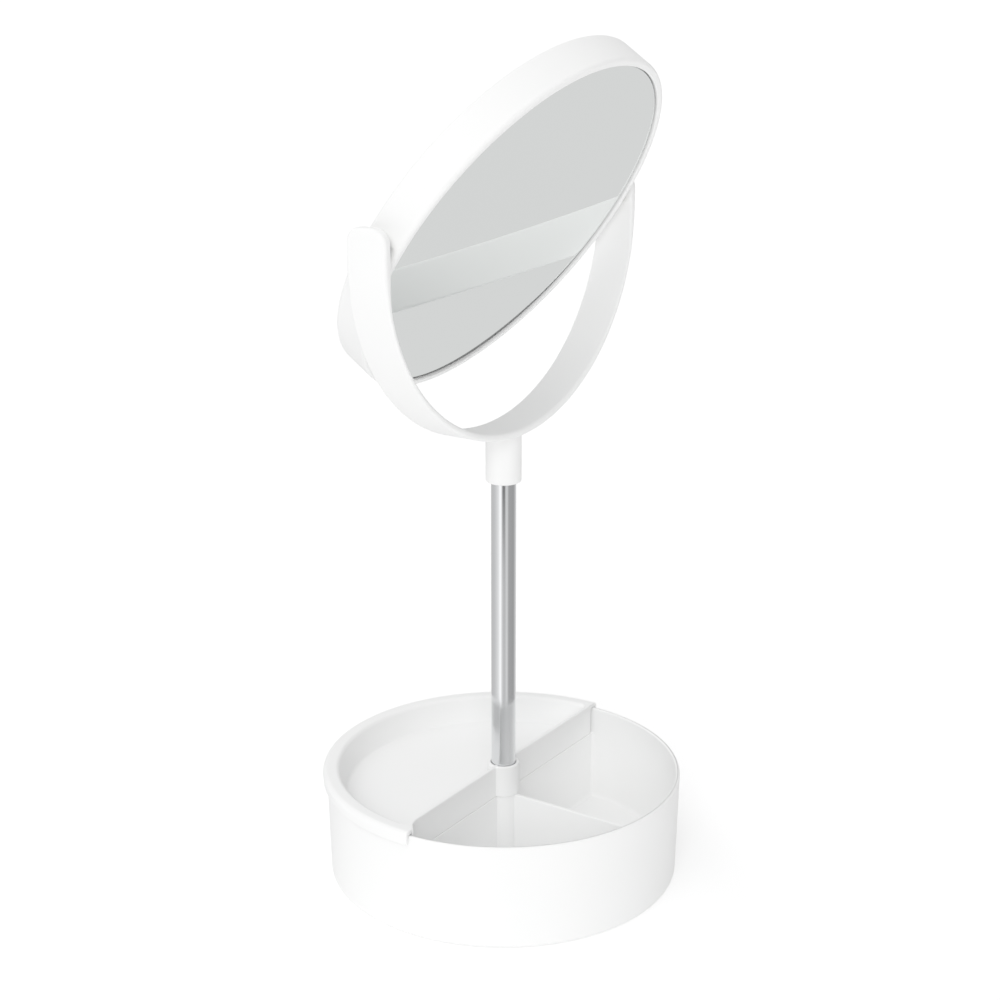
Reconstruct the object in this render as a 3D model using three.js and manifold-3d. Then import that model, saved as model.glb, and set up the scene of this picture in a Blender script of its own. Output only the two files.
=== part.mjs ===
// Extendable shaving mirror on a round tub base, in millimetres, +Z up.
// The origin is the centre of the underside. The mirror's pivot axis runs along X,
// the mirror faces -Y and the half tray covers the +Y half of the tub.

import * as THREE from 'three';
import { mergeVertices } from 'three/addons/utils/BufferGeometryUtils.js';
import Module from 'manifold-3d';

const wasm = await Module();
wasm.setup();

// ---------------------------------------------------------------- driving dimensions

const gap = 0.3;                    // clearance between faces that turn or rest on each other
const fit = 0.1;                    // clearance between a pressed piece and its seat
const turning = 0.5;                // clearance between the turning tray and the tub
const over = 1;                     // how far a cutting shape runs past the face it opens

const foot = { radius: 6, reach: 0.8, seat: 1.0, pitch: 70, count: 4 };

const tub = {
  baseRadius: 85.9, rimRadius: 87.1, rimZ: 53, wall: 2, floor: 2.2, edge: 1.5,
  partition: 2, partitionZ: 39, partitionEnd: 85.35,
};
const hub = { radius: 7.2, topZ: 39.2, webZ: 9, web: 3, counterbore: 5.6, screwHole: 2.6 };

const outerTube = { radius: 6, wall: 0.8, topZ: 203 };
const innerTube = { radius: 4.4, wall: 0.7, bottomZ: 61.9, topZ: 220.7 };
const plug = { length: 19.4, thread: 2.25, threadDepth: 14.4 };
const anchor = { shank: 2.1, shankTopZ: 24, head: 4, headHeight: 2.6, washer: 5, washerHeight: 1 };
const bush = { length: 18, flange: 1.1 };
const glide = { bottomZ: 50, spigot: 10, grooveZ: 54, grooveHeight: 3, grooveRadius: 4.2 };

const tray = {
  topZ: 55.4, floorZ: 42.3, thickness: 2, floorRadius: 76.2, rimInner: 81.3, rimOuter: 89.3,
  skirtZ: 48.8, skirt: 1.1, faceY: -0.8, wallEnd: 83.2, corner: 3, cove: 2.4, chamfer: 1,
  sleeve: 7.9, sleeveEdge: 0.5, round: 1.4,
};

const pivotZ = 324.5;
const yoke = {
  width: 20.6, outerX: 103.5, outerDrop: 96, innerX: 101.6, innerDrop: 92.3, arcZ: pivotZ - 5,
  bossX: 99, tipZ: pivotZ + 9.5, tipRound: 7,
  socket: 8.5, socketZ: 200, socketEdge: 1.3, counterbore: 6.4, counterboreZ: 204.6, boreZ: 221,
};
const setScrew = { radius: 1.4, z: 213, length: 3.4 };

const head = {
  tilt: THREE.MathUtils.degToRad(34),
  ring: 93.7, depth: 18.3, pocket: 89.9, edge: 2.4, edgeRound: 1,
  glass: 89.1, glassThickness: 3, recess: 1.4, curvature: 900,
  web: 74, webThickness: 3, bossInner: 84.5, bossHalfWidth: 6, bossHalfHeight: 4,
  padInner: 75, padOuter: 83, padBack: 1.5,
};
const pin = { radius: 2.4, inner: 85.5, outer: 101.6 };
const washer = { radius: 6, thickness: 0.6 };
const pivotBush = { flange: 6.5, sleeve: 3.8, seatDepth: 3.2 };

// ---------------------------------------------------------------- materials

function material(color, roughness, metalness) {
  return new THREE.MeshStandardMaterial({ color, roughness, metalness });
}

const whitePlastic = () => material(0xf2f3f3, 0.3, 0);
const chrome = () => material(0xd2d4d6, 0.08, 1);
const silvered = () => material(0xd4d8d6, 0.02, 1);
const steel = () => material(0x9b9ea2, 0.35, 1);
const acetal = () => material(0xe4e2da, 0.45, 0);
const rubber = () => material(0x55585a, 0.9, 0);
const foam = () => material(0xb9bcbc, 0.95, 0);

// ---------------------------------------------------------------- geometry helpers

const weldDistance = 1e-4;

function toSolid(geometry) {
  const bare = geometry.clone();
  bare.deleteAttribute('normal');
  bare.deleteAttribute('uv');
  const merged = mergeVertices(bare, weldDistance);
  const index = merged.index.array;
  const triangles = [];
  for (let i = 0; i < index.length; i += 3) {
    const [a, b, c] = index.slice(i, i + 3);
    if (a !== b && b !== c && c !== a) {
      triangles.push(a, b, c);
    }
  }
  const vertProperties = new Float32Array(merged.attributes.position.array);
  const triVerts = new Uint32Array(triangles);
  return new wasm.Manifold(new wasm.Mesh({ numProp: 3, vertProperties, triVerts }));
}

function toGeometry(solid) {
  const mesh = solid.getMesh();
  const geometry = new THREE.BufferGeometry();
  geometry.setAttribute('position', new THREE.BufferAttribute(mesh.vertProperties, 3));
  geometry.setIndex(new THREE.BufferAttribute(mesh.triVerts, 1));
  geometry.computeVertexNormals();
  return geometry;
}

function join(first, ...others) {
  return toGeometry(others.reduce((solid, other) => solid.add(toSolid(other)), toSolid(first)));
}

function cut(first, ...tools) {
  return toGeometry(tools.reduce((solid, tool) => solid.subtract(toSolid(tool)), toSolid(first)));
}

function common(first, second) {
  return toGeometry(toSolid(first).intersect(toSolid(second)));
}

// A solid of revolution about Z from [radius, z] points that run anticlockwise.
function revolve(profile, segments, closed = true) {
  const points = profile.map(([radius, z]) => new THREE.Vector2(radius, z));
  if (closed) {
    points.push(points[0].clone());
  }
  return new THREE.LatheGeometry(points, segments).rotateX(Math.PI / 2);
}

// Points of an arc in the [radius, z] plane, angles in degrees.
function arc(radius, z, size, from, to, steps) {
  const points = [];
  for (let i = 0; i <= steps; i += 1) {
    const angle = THREE.MathUtils.degToRad(from + ((to - from) * i) / steps);
    points.push([radius + size * Math.cos(angle), z + size * Math.sin(angle)]);
  }
  return points;
}

function box(minX, maxX, minY, maxY, minZ, maxZ) {
  const geometry = new THREE.BoxGeometry(maxX - minX, maxY - minY, maxZ - minZ);
  return geometry.translate((minX + maxX) / 2, (minY + maxY) / 2, (minZ + maxZ) / 2);
}

function rod(radius, minZ, maxZ, segments = 24) {
  const geometry = new THREE.CylinderGeometry(radius, radius, maxZ - minZ, segments);
  return geometry.rotateX(Math.PI / 2).translate(0, 0, (minZ + maxZ) / 2);
}

function sleeve(inner, outer, minZ, maxZ, segments = 24) {
  return revolve([[inner, minZ], [outer, minZ], [outer, maxZ], [inner, maxZ]], segments);
}

function extrude(shape, depth, curveSegments) {
  return new THREE.ExtrudeGeometry(shape, { depth, bevelEnabled: false, curveSegments });
}

// Turns a shape made along +Z so that it runs along +X.
function alongX(geometry) {
  return geometry.rotateY(Math.PI / 2);
}

function place(parent, name, geometry, paint) {
  const mesh = new THREE.Mesh(geometry, paint);
  mesh.name = name;
  parent.add(mesh);
  return mesh;
}

function placeBothSides(parent, name, makeGeometry, makePaint) {
  place(parent, `${name}_right`, makeGeometry(), makePaint());
  place(parent, `${name}_left`, makeGeometry().rotateZ(Math.PI), makePaint());
}

// ---------------------------------------------------------------- base

const round = 64;                   // segments of the large turned pieces
const small = 32;                   // segments of the pole and its fittings
const screwSegments = 16;
const hexagon = 6;                  // sides of a key socket in a screw

function footCentres() {
  return Array.from({ length: foot.count }, (_, i) => {
    const angle = (Math.PI * 2 * (i + 0.5)) / foot.count;
    return [foot.pitch * Math.cos(angle), foot.pitch * Math.sin(angle)];
  });
}

// Open tub: floor, tapered wall with a rounded rim, cross partition, divider and hub post.
function tubGeometry() {
  const bottom = foot.reach;
  const floorZ = bottom + tub.floor;
  const shell = revolve([
    [0, bottom],
    ...arc(tub.baseRadius - tub.edge, bottom + tub.edge, tub.edge, -90, 0, 3),
    ...arc(tub.rimRadius - tub.wall / 2, tub.rimZ - tub.wall / 2, tub.wall / 2, 0, 180, 4),
    [tub.baseRadius - tub.wall, floorZ + tub.edge],
    [tub.baseRadius - tub.wall - tub.edge, floorZ],
    [0, floorZ],
  ], round, false);
  const half = tub.partition / 2;
  const end = tub.partitionEnd;
  const low = bottom + tub.floor / 2;
  const web = [hub.webZ, hub.webZ + hub.web];
  const footSeat = () => rod(foot.radius + fit, 0, bottom + foot.seat);
  return cut(
    join(
      shell,
      box(-end, end, -half, half, low, tub.partitionZ),
      box(-half, half, -end, 0, low, tub.partitionZ),
      rod(hub.radius, bottom, hub.topZ, small),
    ),
    rod(outerTube.radius + fit, web[1], hub.topZ + over, small),
    rod(hub.screwHole, web[0] - over, web[1] + over),
    rod(hub.counterbore, 0, web[0]),
    ...footCentres().map(([x, y]) => footSeat().translate(x, y, 0)),
  );
}

function addFeet(parent) {
  footCentres().forEach(([x, y], i) => {
    const pad = rod(foot.radius, 0, foot.reach + foot.seat - fit);
    place(parent, `rubber_foot_${i + 1}`, pad.translate(x, y, 0), rubber());
  });
}

// Pole: chrome tube, the threaded plug in its foot, and the screw that pulls it into the hub.
function addPole(parent) {
  const seatZ = hub.webZ + hub.web + gap;
  const bore = outerTube.radius - outerTube.wall;
  place(parent, 'outer_tube', sleeve(bore, outerTube.radius, seatZ, outerTube.topZ, small), chrome());

  const body = rod(bore - fit, seatZ, seatZ + plug.length, small);
  const thread = rod(plug.thread, seatZ - over, seatZ + plug.threadDepth);
  place(parent, 'tube_plug', cut(body, thread), steel());

  const washerTop = hub.webZ - fit;
  const washerBottom = washerTop - anchor.washerHeight;
  const ring = sleeve(anchor.shank + gap, anchor.washer, washerBottom, washerTop);
  place(parent, 'anchor_washer', ring, steel());

  const headTop = washerBottom - fit;
  const headBottom = headTop - anchor.headHeight;
  const screw = join(
    rod(anchor.head, headBottom, headTop),
    rod(anchor.shank, headTop - over, anchor.shankTopZ),
  );
  const socketTop = headBottom + anchor.headHeight / 2;
  const socket = rod(anchor.head / 2, headBottom - over, socketTop, hexagon);
  place(parent, 'anchor_screw', cut(screw, socket), steel());
}

// Guide bush pressed into the top of the outer tube, with a flange over the tube's end.
function addBush(parent) {
  const bore = innerTube.radius + fit;
  const neck = outerTube.radius - outerTube.wall - fit;
  const flangeZ = outerTube.topZ + fit;
  const geometry = revolve([
    [bore, outerTube.topZ - bush.length],
    [neck, outerTube.topZ - bush.length],
    [neck, flangeZ],
    [outerTube.radius, flangeZ],
    [outerTube.radius, flangeZ + bush.flange],
    [bore, flangeZ + bush.flange],
  ], small);
  place(parent, 'tube_bush', geometry, acetal());
}

// ---------------------------------------------------------------- half tray

// Half-round dish with a lipped rim, a straight front wall and a sleeve round the pole.
function trayGeometry() {
  const { topZ, floorZ, thickness, floorRadius, rimInner, rimOuter, round: soft } = tray;
  const bottom = floorZ - thickness;
  const underRim = tub.rimZ + gap;
  const skirtInner = tub.rimRadius + turning;
  const dish = revolve([
    [0, bottom],
    [floorRadius + thickness + tray.chamfer, bottom],
    [rimInner + thickness, underRim - tray.chamfer],
    [rimInner + thickness, underRim],
    [skirtInner, underRim],
    [skirtInner, tray.skirtZ],
    [skirtInner + tray.skirt, tray.skirtZ],
    ...arc(rimOuter - soft, topZ - soft, soft, 0, 90, 4),
    ...arc(rimInner + soft, topZ - soft, soft, 90, 180, 4),
    ...arc(floorRadius, floorZ + tray.cove, tray.cove, 0, -90, 3),
    [0, floorZ],
  ], round, false);
  const low = tub.partitionZ + turning;
  const reach = rimOuter + over;
  const halfDish = cut(dish, box(-reach, reach, -reach, tray.faceY, 0, reach));
  return cut(
    join(
      halfDish,
      straightWall(low),
      revolve([
        [0, low],
        [tray.sleeve, low],
        [tray.sleeve, topZ - tray.sleeveEdge],
        [tray.sleeve - tray.sleeveEdge, topZ],
        [0, topZ],
      ], small, false),
    ),
    rod(outerTube.radius + gap, 0, topZ + over, small),
  );
}

// Upright wall along the tray's straight side, with its lower corners rounded.
function straightWall(low) {
  const { corner, wallEnd, thickness, topZ } = tray;
  const shoulder = tub.rimZ + gap;
  const rimEnd = tray.rimInner + tray.round;
  const shape = new THREE.Shape();
  shape.moveTo(-wallEnd + corner, low);
  shape.lineTo(wallEnd - corner, low);
  shape.absarc(wallEnd - corner, low + corner, corner, -Math.PI / 2, 0, false);
  shape.lineTo(wallEnd, shoulder);
  shape.lineTo(rimEnd, shoulder);
  shape.lineTo(rimEnd, topZ);
  shape.lineTo(-rimEnd, topZ);
  shape.lineTo(-rimEnd, shoulder);
  shape.lineTo(-wallEnd, shoulder);
  shape.absarc(-wallEnd + corner, low + corner, corner, Math.PI, Math.PI * 1.5, false);
  return extrude(shape, thickness, 4).rotateX(Math.PI / 2).translate(0, tray.faceY + thickness, 0);
}

// ---------------------------------------------------------------- sliding glide

function addGlide(parent) {
  const bore = outerTube.radius - outerTube.wall;
  const top = innerTube.bottomZ - gap;
  const { bottomZ, grooveZ, grooveHeight, grooveRadius } = glide;
  const spigot = innerTube.radius - innerTube.wall - fit;
  const body = revolve([
    [0, bottomZ],
    [bore - fit, bottomZ],
    [bore - fit, grooveZ],
    [grooveRadius, grooveZ],
    [grooveRadius, grooveZ + grooveHeight],
    [bore - fit, grooveZ + grooveHeight],
    [bore - fit, top],
    [spigot, top],
    [spigot, top + glide.spigot],
    [0, top + glide.spigot],
  ], small, false);
  place(parent, 'slide_glide', body, acetal());

  const [low, high] = [grooveZ + fit, grooveZ + grooveHeight - fit];
  place(parent, 'friction_ring', sleeve(grooveRadius + fit, bore - fit, low, high, small), rubber());
}

// ---------------------------------------------------------------- yoke

// U-shaped band in the XZ plane: straight tips, elliptical bend, thicker bosses at the tips.
function bandGeometry() {
  const { outerX, outerDrop, innerX, innerDrop, arcZ, bossX, tipZ, width } = yoke;
  const meet = Math.acos(bossX / innerX);
  const shape = new THREE.Shape();
  shape.moveTo(-outerX, tipZ);
  shape.lineTo(-outerX, arcZ);
  shape.absellipse(0, arcZ, outerX, outerDrop, Math.PI, Math.PI * 2, false);
  shape.lineTo(outerX, tipZ);
  shape.lineTo(bossX, tipZ);
  shape.lineTo(bossX, arcZ - innerDrop * Math.sin(meet));
  shape.absellipse(0, arcZ, innerX, innerDrop, -meet, -Math.PI + meet, true);
  shape.lineTo(-bossX, tipZ);
  shape.closePath();
  return extrude(shape, width, 24).rotateX(Math.PI / 2).translate(0, width / 2, 0);
}

// Side view of the arms, which rounds the corners of their tips.
function tipEnvelope() {
  const half = yoke.width / 2;
  const top = yoke.tipZ;
  const soft = yoke.tipRound;
  const shape = new THREE.Shape();
  shape.moveTo(-half, yoke.socketZ);
  shape.lineTo(half, yoke.socketZ);
  shape.lineTo(half, top - soft);
  shape.absarc(half - soft, top - soft, soft, 0, Math.PI / 2, false);
  shape.lineTo(-half + soft, top);
  shape.absarc(-half + soft, top - soft, soft, Math.PI / 2, Math.PI, false);
  shape.closePath();
  const length = (yoke.outerX + over) * 2;
  return extrude(shape, length, 4).rotateX(Math.PI / 2).rotateZ(Math.PI / 2).translate(-length / 2, 0, 0);
}

function yokeGeometry() {
  const { socket, socketZ, socketEdge, arcZ, counterboreZ, boreZ } = yoke;
  const socketTop = arcZ - (yoke.outerDrop + yoke.innerDrop) / 2;
  const socketSolid = revolve([
    [0, socketZ],
    ...arc(socket - socketEdge, socketZ + socketEdge, socketEdge, -90, 0, 3),
    [socket, socketTop],
    [0, socketTop],
  ], small, false);
  const [seatStart, seatEnd] = [yoke.bossX - over, yoke.bossX + pivotBush.seatDepth];
  const seat = () => alongX(rod(pivotBush.sleeve + fit, seatStart, seatEnd)).translate(0, 0, pivotZ);
  const screwHole = rod(setScrew.radius + fit, 0, socket + over, screwSegments);
  return cut(
    join(common(bandGeometry(), tipEnvelope()), socketSolid),
    rod(yoke.counterbore, socketZ - over, counterboreZ, small),
    rod(innerTube.radius + fit, socketZ - over, boreZ, small),
    screwHole.rotateX(-Math.PI / 2).translate(0, 0, setScrew.z),
    seat(),
    seat().rotateZ(Math.PI),
  );
}

function addSetScrew(parent) {
  const start = innerTube.radius + gap;
  const end = start + setScrew.length;
  const body = rod(setScrew.radius, start, end, screwSegments);
  const socket = rod(setScrew.radius / 2, (start + end) / 2, end + over, hexagon);
  const geometry = cut(body, socket).rotateX(-Math.PI / 2).translate(0, 0, setScrew.z);
  place(parent, 'set_screw', geometry, steel());
}

// Nylon bush: a thick flange fills the space beside the ring, a sleeve sits in the arm.
function pivotBushGeometry() {
  const flangeStart = head.ring + gap + washer.thickness + gap;
  const flangeEnd = yoke.bossX - gap;
  const sleeveEnd = yoke.bossX + pivotBush.seatDepth - gap;
  const bore = pin.radius + fit;
  const profile = [
    [bore, flangeStart],
    [pivotBush.flange, flangeStart],
    [pivotBush.flange, flangeEnd],
    [pivotBush.sleeve, flangeEnd],
    [pivotBush.sleeve, sleeveEnd],
    [bore, sleeveEnd],
  ];
  return alongX(revolve(profile, small)).translate(0, 0, pivotZ);
}

// ---------------------------------------------------------------- mirror head

const headSegments = 72;

// Pieces of the head are turned about Z and then laid down so that +Z becomes the front, -Y.
function faceFront(geometry) {
  return geometry.rotateX(Math.PI / 2);
}

// Deep ring open on both faces, with an inner web that the glasses are bedded on.
function ringGeometry() {
  const { ring, depth, pocket, edge, edgeRound, web, webThickness } = head;
  const half = depth / 2;
  const section = [
    ...arc(pocket + edgeRound, -half + edgeRound, edgeRound, 180, 270, 2),
    ...arc(ring - edge, -half + edge, edge, -90, 0, 3),
    ...arc(ring - edge, half - edge, edge, 0, 90, 3),
    ...arc(pocket + edgeRound, half - edgeRound, edgeRound, 90, 180, 2),
    [pocket, webThickness / 2],
    [web, webThickness / 2],
    [web, -webThickness / 2],
    [pocket, -webThickness / 2],
  ];
  const { bossInner, bossHalfWidth: wide, bossHalfHeight: high } = head;
  const boss = () => box(bossInner, pocket + over, -wide, wide, -high, high);
  const bore = () => alongX(rod(pin.radius + fit, pin.inner - gap, ring + over));
  return faceFront(cut(
    join(revolve(section, headSegments), boss(), boss().rotateZ(Math.PI)),
    bore(),
    bore().rotateZ(Math.PI),
  ));
}

function plainGlassGeometry() {
  const front = head.depth / 2 - head.recess;
  return faceFront(rod(head.glass, front - head.glassThickness, front, headSegments));
}

// Concave magnifying glass of even thickness: depth = r^2 / (2 * curvature radius).
function magnifyingGlassGeometry() {
  const rim = -head.depth / 2 + head.recess;
  const rings = 5;
  const face = [];
  for (let i = 0; i <= rings; i += 1) {
    const radius = (head.glass * i) / rings;
    const hollow = (head.glass ** 2 - radius ** 2) / (2 * head.curvature);
    face.push([radius, rim + hollow]);
  }
  const back = face.map(([radius, z]) => [radius, z + head.glassThickness]).reverse();
  return faceFront(revolve([...face, ...back], headSegments, false));
}

function padGeometry(near, far) {
  return faceFront(sleeve(head.padInner, head.padOuter, near, far, 48));
}

function addHead(parent) {
  const webFace = head.webThickness / 2 + fit;
  const glassBack = head.depth / 2 - head.recess - head.glassThickness - gap / 2;
  place(parent, 'mirror_ring', ringGeometry(), whitePlastic());
  place(parent, 'plain_glass', plainGlassGeometry(), silvered());
  place(parent, 'magnifying_glass', magnifyingGlassGeometry(), silvered());
  place(parent, 'front_foam_pad', padGeometry(webFace, glassBack), foam());
  place(parent, 'back_foam_pad', padGeometry(-webFace - head.padBack, -webFace), foam());
  placeBothSides(parent, 'pivot_pin', () => alongX(rod(pin.radius, pin.inner, pin.outer)), steel);
}

function washerGeometry() {
  const start = head.ring + gap;
  const disc = sleeve(pin.radius + fit, washer.radius, start, start + washer.thickness);
  return alongX(disc).translate(0, 0, pivotZ);
}

// ---------------------------------------------------------------- assembly

const group = new THREE.Group();

const base = new THREE.Group();
place(base, 'base_tub', tubGeometry(), whitePlastic());
addFeet(base);
addPole(base);
addBush(base);
group.add(base);

const trayGroup = new THREE.Group();
place(trayGroup, 'half_tray', trayGeometry(), whitePlastic());
group.add(trayGroup);

const slider = new THREE.Group();
addGlide(slider);
group.add(slider);

const carrier = new THREE.Group();
const { radius, wall, bottomZ, topZ } = innerTube;
place(carrier, 'inner_tube', sleeve(radius - wall, radius, bottomZ, topZ, small), chrome());
place(carrier, 'yoke', yokeGeometry(), whitePlastic());
addSetScrew(carrier);
placeBothSides(carrier, 'pivot_bush', pivotBushGeometry, acetal);
placeBothSides(carrier, 'friction_washer', washerGeometry, steel);
group.add(carrier);

const headGroup = new THREE.Group();
headGroup.position.z = pivotZ;
headGroup.rotation.x = head.tilt;
addHead(headGroup);
group.add(headGroup);

export default group;
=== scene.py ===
# %% [markdown]
# # An extendable shaving mirror
# A round, two-sided mirror tilts in a U-shaped yoke. The yoke stands on a telescoping pole, and the pole
# grows out of a round tub with compartments and a turning half tray. The moving skeleton is packed already,
# so this notebook dresses it: every visible piece is worked out again as a smooth surface, given a moulded,
# plated, silvered or turned finish, and set in plain studio light.

# %% Load the frame
import math

import bmesh
import bpy
import numpy as np
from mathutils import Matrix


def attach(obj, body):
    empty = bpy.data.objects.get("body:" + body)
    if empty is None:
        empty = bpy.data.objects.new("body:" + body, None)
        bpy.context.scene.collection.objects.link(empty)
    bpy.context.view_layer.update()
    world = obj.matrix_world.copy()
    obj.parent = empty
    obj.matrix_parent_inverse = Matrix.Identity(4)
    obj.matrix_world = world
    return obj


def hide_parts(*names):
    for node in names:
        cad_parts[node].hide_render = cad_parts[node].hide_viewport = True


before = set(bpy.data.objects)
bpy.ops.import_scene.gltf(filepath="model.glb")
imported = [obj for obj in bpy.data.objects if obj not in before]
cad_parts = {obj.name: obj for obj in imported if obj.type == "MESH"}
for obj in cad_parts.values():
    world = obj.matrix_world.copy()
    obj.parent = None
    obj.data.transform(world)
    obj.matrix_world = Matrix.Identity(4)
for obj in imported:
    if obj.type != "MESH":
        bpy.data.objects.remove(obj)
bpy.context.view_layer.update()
print("nodes:", len(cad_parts))

# %% [markdown]
# ## From numbers to a mesh
# Everything below is drawn in millimetres, as on a workshop drawing, and scaled once when the mesh is made.
# A shape is a grid of points, worked out as whole arrays, so a curve costs no more code than a flat.
# A part is its points and its faces; several parts can make one piece.

# %% Grids and parts
MM = 0.001


def grid_faces(rows, columns, wrap_rows=False, wrap_columns=True):
    """Four corner numbers for each cell of a rows x columns grid of points, numbered row by row."""
    row = np.arange(rows if wrap_rows else rows - 1)
    column = np.arange(columns if wrap_columns else columns - 1)
    a, b = (index.ravel() for index in np.meshgrid(row, column, indexing="ij"))
    c, d = (a + 1) % rows, (b + 1) % columns
    return np.stack([a * columns + b, a * columns + d, c * columns + d, c * columns + b], 1)


def fan(centre, ring):
    """Triangles from one centre point to each pair of neighbours in a ring of point numbers."""
    return np.stack([np.full(len(ring), centre), ring, np.roll(ring, -1)], 1)


def part(points, quads, triangles=None):
    """A closed shell whose faces point outwards: they are turned over if the signed volume,
    the sum of a . (b x c) over all triangles, is negative."""
    points = np.asarray(points, float).reshape(-1, 3)
    triangles = np.zeros((0, 3), int) if triangles is None else triangles
    pieces = np.concatenate([quads[:, :3], quads[:, [0, 2, 3]], triangles])
    a, b, c = (points[pieces[:, k]] for k in range(3))
    if np.einsum("ij,ij->", a, np.cross(b, c)) < 0:
        quads, triangles = quads[:, ::-1], triangles[:, ::-1]
    return points, quads, triangles


def capped(points, rows, columns):
    """A loop of points carried along a row of stations, closed at both ends by a fan to its middle."""
    points = points.reshape(-1, 3)
    ends = points[:columns].mean(0), points[-columns:].mean(0)
    ring, n = np.arange(columns), len(points)
    caps = np.concatenate([fan(n, ring[::-1]), fan(n + 1, ring + (rows - 1) * columns)])
    return part(np.concatenate([points, ends]), grid_faces(rows, columns), caps)


# %% [markdown]
# ## Profiles
# Moulded and turned pieces have no sharp corners: light always catches a small radius. So every outline is
# given as corners with a radius each, and the radius becomes an arc that touches both its sides. Two extra
# points beside each arc keep the flats flat under smooth shading.

# %% Rounded outlines
ARC_STEPS = 6
SUPPORT = 0.12


def rounded(corners, closed=True):
    """Outline through (x, y, radius) corners. At each corner the arc's centre lies on the bisector at
    radius / sin(half angle), and it touches the sides at radius / tan(half angle) from the corner."""
    at = np.array([c[:2] for c in corners], float)
    outline = []
    for i, (_, _, radius) in enumerate(corners):
        if radius == 0 or (not closed and i in (0, len(corners) - 1)):
            outline.append(at[i])
            continue
        back, ahead = at[i - 1] - at[i], at[(i + 1) % len(at)] - at[i]
        back, ahead = back / np.linalg.norm(back), ahead / np.linalg.norm(ahead)
        half = math.acos(np.clip(back @ ahead, -1, 1)) / 2
        reach = radius / math.tan(half)
        centre = at[i] + (back + ahead) / np.linalg.norm(back + ahead) * radius / math.sin(half)
        start, end = at[i] + back * reach - centre, at[i] + ahead * reach - centre
        sweep = math.pi - 2 * half
        t = np.linspace(0, 1, ARC_STEPS + 1)[:, None]
        arc = centre + (np.sin((1 - t) * sweep) * start + np.sin(t * sweep) * end) / math.sin(sweep)
        outline += [at[i] + back * (reach + SUPPORT), *arc, at[i] + ahead * (reach + SUPPORT)]
    return np.array(outline)


def turned(profile, segments=192, on_axis=False):
    """Surface of revolution: a profile point (r, z) becomes the circle (r cos a, r sin a, z).
    With on_axis, the first and last profile points lie on the axis and close the ends as poles."""
    radius, height = np.asarray(profile, float).T
    angle = np.linspace(0, 2 * math.pi, segments, endpoint=False)
    rings = slice(1, -1) if on_axis else slice(None)
    r, z = radius[rings, None], height[rings, None]
    points = np.stack([r * np.cos(angle), r * np.sin(angle), z + 0 * angle], -1).reshape(-1, 3)
    quads = grid_faces(len(r), segments, wrap_rows=not on_axis)
    if not on_axis:
        return part(points, quads)
    first = np.arange(segments)
    last = first + (len(r) - 1) * segments
    poles = [[0, 0, height[0]], [0, 0, height[-1]]]
    n = len(points)
    triangles = np.concatenate([fan(n, first[::-1]), fan(n + 1, last)])
    return part(np.concatenate([points, poles]), quads, triangles)


def moved(shape, matrix=None, shift=(0, 0, 0)):
    """The same part after a 3 x 3 turn and then a shift."""
    points, quads, triangles = shape
    if matrix is not None:
        points = points @ np.asarray(matrix, float).T
    return points + np.array(shift, float), quads, triangles


def turn(axis, degrees):
    """3 x 3 rotation about the X, Y or Z axis, from the cosine and sine of the angle."""
    c, s = math.cos(math.radians(degrees)), math.sin(math.radians(degrees))
    return {
        "X": [[1, 0, 0], [0, c, -s], [0, s, c]],
        "Y": [[c, 0, s], [0, 1, 0], [-s, 0, c]],
        "Z": [[c, -s, 0], [s, c, 0], [0, 0, 1]],
    }[axis]


# %% [markdown]
# ## Finishing a piece
# One function turns parts into a Blender object: it scales the points to metres, joins the parts into one
# mesh, shades it smooth, gives it a material, hangs it on its moving body and hides the imported solids it
# stands for.

# %% Making a piece
def piece(name, shapes, finish, body, slot, *nodes):
    """One object from several parts, with its finish, its moving body and the nodes it stands for."""
    points, faces, start = [], [], 0
    for at, quads, triangles in shapes:
        points.append(at * MM)
        faces += (quads + start).tolist() + (triangles + start).tolist()
        start += len(at)
    mesh = bpy.data.meshes.new(name)
    mesh.from_pydata(np.concatenate(points).tolist(), [], faces)
    mesh.polygons.foreach_set("use_smooth", np.ones(len(mesh.polygons), bool))
    mesh.materials.append(finish)
    mesh.update()
    obj = bpy.data.objects.new(name, mesh)
    bpy.context.scene.collection.objects.link(obj)
    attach(obj, body)
    if nodes:
        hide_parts(*nodes)
    print(f"{name}: {len(mesh.vertices)} points, {len(mesh.polygons)} faces")
    return obj


# %% [markdown]
# ### Drilling
# A hole is cut with a Boolean modifier, which is the plain way to drill a finished shape. The result is
# kept as the piece's own mesh.

# %% Drill helper
def rod(radius, length, matrix, shift):
    """A plain round rod along the turned Z axis, as a cutting tool."""
    profile = [(0, 0), (radius, 0), (radius, length), (0, length)]
    return moved(turned(profile, 48, on_axis=True), matrix, shift)


def drilled(obj, shape):
    """Cuts a shape out of a piece with a Boolean modifier and keeps the result as the piece's own mesh."""
    mesh = bpy.data.meshes.new("drill")
    mesh.from_pydata((shape[0] * MM).tolist(), [], shape[1].tolist() + shape[2].tolist())
    tool = bpy.data.objects.new("drill", mesh)
    bpy.context.scene.collection.objects.link(tool)
    cut = obj.modifiers.new("hole", "BOOLEAN")
    cut.object, cut.operation, cut.solver = tool, "DIFFERENCE", "EXACT"
    bpy.context.view_layer.update()
    result = bpy.data.meshes.new_from_object(obj.evaluated_get(bpy.context.evaluated_depsgraph_get()))
    obj.modifiers.clear()
    obj.data = result
    bpy.data.objects.remove(tool)
    print(f"{obj.name}: {len(obj.data.polygons)} faces after drilling")


# %% [markdown]
# ## Finishes
# A material is a small graph of nodes that ends in the Principled shader. One helper adds a node, sets its
# options, and gives each input a number or a link. Colours are written as sRGB hex, the way a paint chart
# gives them, and turned to linear light once.

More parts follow.
